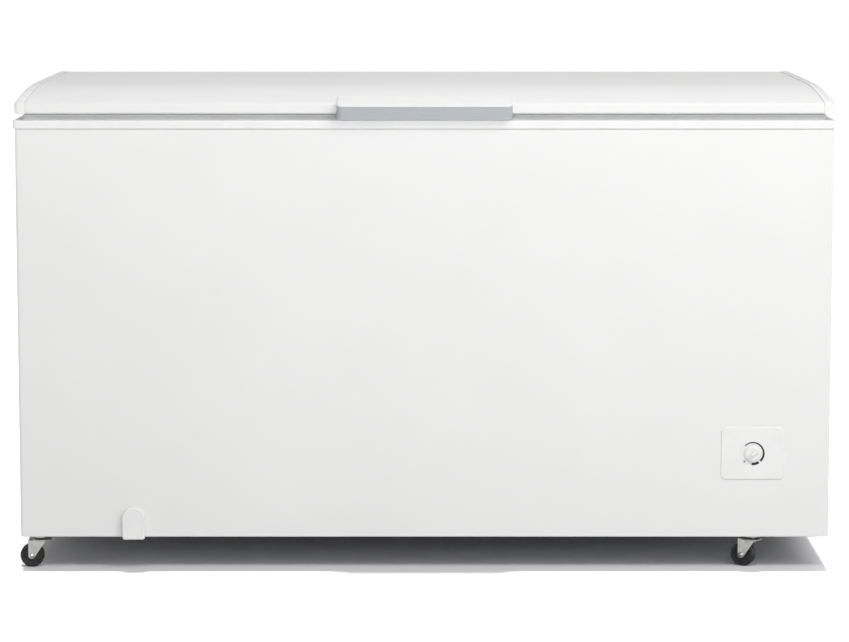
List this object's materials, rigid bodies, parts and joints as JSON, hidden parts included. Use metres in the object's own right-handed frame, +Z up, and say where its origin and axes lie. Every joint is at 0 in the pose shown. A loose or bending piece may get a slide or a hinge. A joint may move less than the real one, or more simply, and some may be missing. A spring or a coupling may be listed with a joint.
{
  "type": "chest freezer",
  "caption": "Wide white chest freezer with a spring-hinged lid, a grey pull handle, a lower front thermostat dial, a drain cap, a hanging wire basket and swivel casters.",
  "frame": {"origin": "on the floor under the middle of the cabinet", "axes": "+X to the right seen from the front, +Y to the back, +Z up; the handle faces -Y"},
  "size_m": [1.5715, 0.7452, 0.929],
  "materials": {
    "white_steel": "satin white powder coat",
    "galvanised_steel": "galvanised sheet",
    "foam": null,
    "liner_plastic": "smooth vacuum-formed white",
    "white_plastic": "smooth white moulding",
    "grey_plastic": "fine matt grey moulding",
    "black_plastic": "matt black moulding",
    "black_nylon": "black nylon wheel",
    "rubber": "black rubber",
    "gasket_vinyl": "soft grey vinyl",
    "magnet": "bonded magnet strip",
    "coil_aluminium": "drawn tube",
    "tube_steel": "black-coated steel tube",
    "black_steel": "black enamel",
    "copper": "drawn copper",
    "plated_steel": "bright zinc plate",
    "spring_steel": "oiled spring wire",
    "coated_wire": "white-coated wire"
  },
  "bodies": {
    "cabinet": {"front_panel": "white_steel", "left_side_panel": "white_steel", "right_side_panel": "white_steel", "back_panel": "galvanised_steel", "base_pan": "galvanised_steel", "foam_insulation": "foam", "inner_liner": "liner_plastic", "top_frame": "white_plastic", "evaporator_coil": "coil_aluminium", "condenser_coil": "tube_steel", "compressor_tray": "galvanised_steel", "compressor": "black_steel", "compressor_grommets": "rubber", "compressor_bolts": "galvanised_steel", "terminal_cover": "black_plastic", "filter_drier": "copper", "discharge_tube": "copper", "suction_tube": "copper", "capillary_tube": "copper", "bay_grille": "white_plastic", "cord_bushing": "black_plastic", "control_panel": "white_plastic", "thermostat_body": "grey_plastic", "drain_pipe": "grey_plastic", "hinge_bases": "plated_steel", "hinge_pins": "plated_steel", "hinge_springs": "spring_steel", "cabinet_screws": "plated_steel", "caster_plates": "plated_steel"},
    "lid": {"lid_skin": "white_steel", "lid_end_cap_left": "white_plastic", "lid_end_cap_right": "white_plastic", "lid_foam": "foam", "lid_plug_foam": "foam", "lid_inner_panel": "liner_plastic", "lid_gasket": "gasket_vinyl", "gasket_magnets": "magnet", "handle_grip": "grey_plastic", "handle_cover": "white_plastic", "hinge_leaves": "plated_steel", "lid_screws": "plated_steel"},
    "dial": {"thermostat_knob": "white_plastic", "thermostat_spindle": "plated_steel"},
    "basket": {"basket": "coated_wire"},
    "drain_cap": {"drain_cap": "white_plastic"},
    "drain_plug": {"drain_plug": "rubber"},
    "caster_front_left": {"caster_fork_front_left": "plated_steel", "caster_axle_front_left": "plated_steel"},
    "wheel_front_left": {"caster_wheel_front_left": "black_nylon"},
    "caster_front_right": {"caster_fork_front_right": "plated_steel", "caster_axle_front_right": "plated_steel"},
    "wheel_front_right": {"caster_wheel_front_right": "black_nylon"},
    "caster_rear_left": {"caster_fork_rear_left": "plated_steel", "caster_axle_rear_left": "plated_steel"},
    "wheel_rear_left": {"caster_wheel_rear_left": "black_nylon"},
    "caster_rear_right": {"caster_fork_rear_right": "plated_steel", "caster_axle_rear_right": "plated_steel"},
    "wheel_rear_right": {"caster_wheel_rear_right": "black_nylon"}
  },
  "joints": [
    {"name": "lid_hinge", "type": "hinge", "parent": "cabinet", "child": "lid", "pos_m": [0, 0.361, 0.886], "axis": [-1, 0, 0], "range_deg": [0, 85], "stiffness_Nm_per_rad": 12, "springref_deg": 100.27, "deforming": ["hinge_springs"]},
    {"name": "dial_turn", "type": "hinge", "parent": "cabinet", "child": "dial", "pos_m": [0.632, -0.35, 0.232], "axis": [0, 1, 0], "range_deg": [0, 315]},
    {"name": "basket_slide", "type": "slide", "parent": "cabinet", "child": "basket", "axis": [-1, 0, 0], "range_m": [0, 1.15]},
    {"name": "drain_cap_pull", "type": "slide", "parent": "cabinet", "child": "drain_cap", "axis": [0, -1, 0], "range_m": [0, 0.03]},
    {"name": "drain_plug_lift", "type": "slide", "parent": "cabinet", "child": "drain_plug", "axis": [0, 0, 1], "range_m": [0, 0.04]},
    {"name": "swivel_front_left", "type": "hinge", "parent": "cabinet", "child": "caster_front_left", "pos_m": [-0.746, -0.3, 0.055], "axis": [0, 0, 1], "continuous": true},
    {"name": "roll_front_left", "type": "hinge", "parent": "caster_front_left", "child": "wheel_front_left", "pos_m": [-0.764, -0.3, 0.023], "axis": [0, 1, 0], "continuous": true},
    {"name": "swivel_front_right", "type": "hinge", "parent": "cabinet", "child": "caster_front_right", "pos_m": [0.638, -0.3, 0.055], "axis": [0, 0, 1], "continuous": true},
    {"name": "roll_front_right", "type": "hinge", "parent": "caster_front_right", "child": "wheel_front_right", "pos_m": [0.62196, -0.29183, 0.023], "axis": [0.454, 0.891, 0], "continuous": true},
    {"name": "swivel_rear_left", "type": "hinge", "parent": "cabinet", "child": "caster_rear_left", "pos_m": [-0.746, 0.3, 0.055], "axis": [0, 0, 1], "continuous": true},
    {"name": "roll_rear_left", "type": "hinge", "parent": "caster_rear_left", "child": "wheel_rear_left", "pos_m": [-0.76347, 0.29565, 0.023], "axis": [-0.2419, 0.9703, 0], "continuous": true},
    {"name": "swivel_rear_right", "type": "hinge", "parent": "cabinet", "child": "caster_rear_right", "pos_m": [0.638, 0.3, 0.055], "axis": [0, 0, 1], "continuous": true},
    {"name": "roll_rear_right", "type": "hinge", "parent": "caster_rear_right", "child": "wheel_rear_right", "pos_m": [0.62018, 0.30251, 0.023], "axis": [0.1392, 0.9903, 0], "continuous": true}
  ]
}
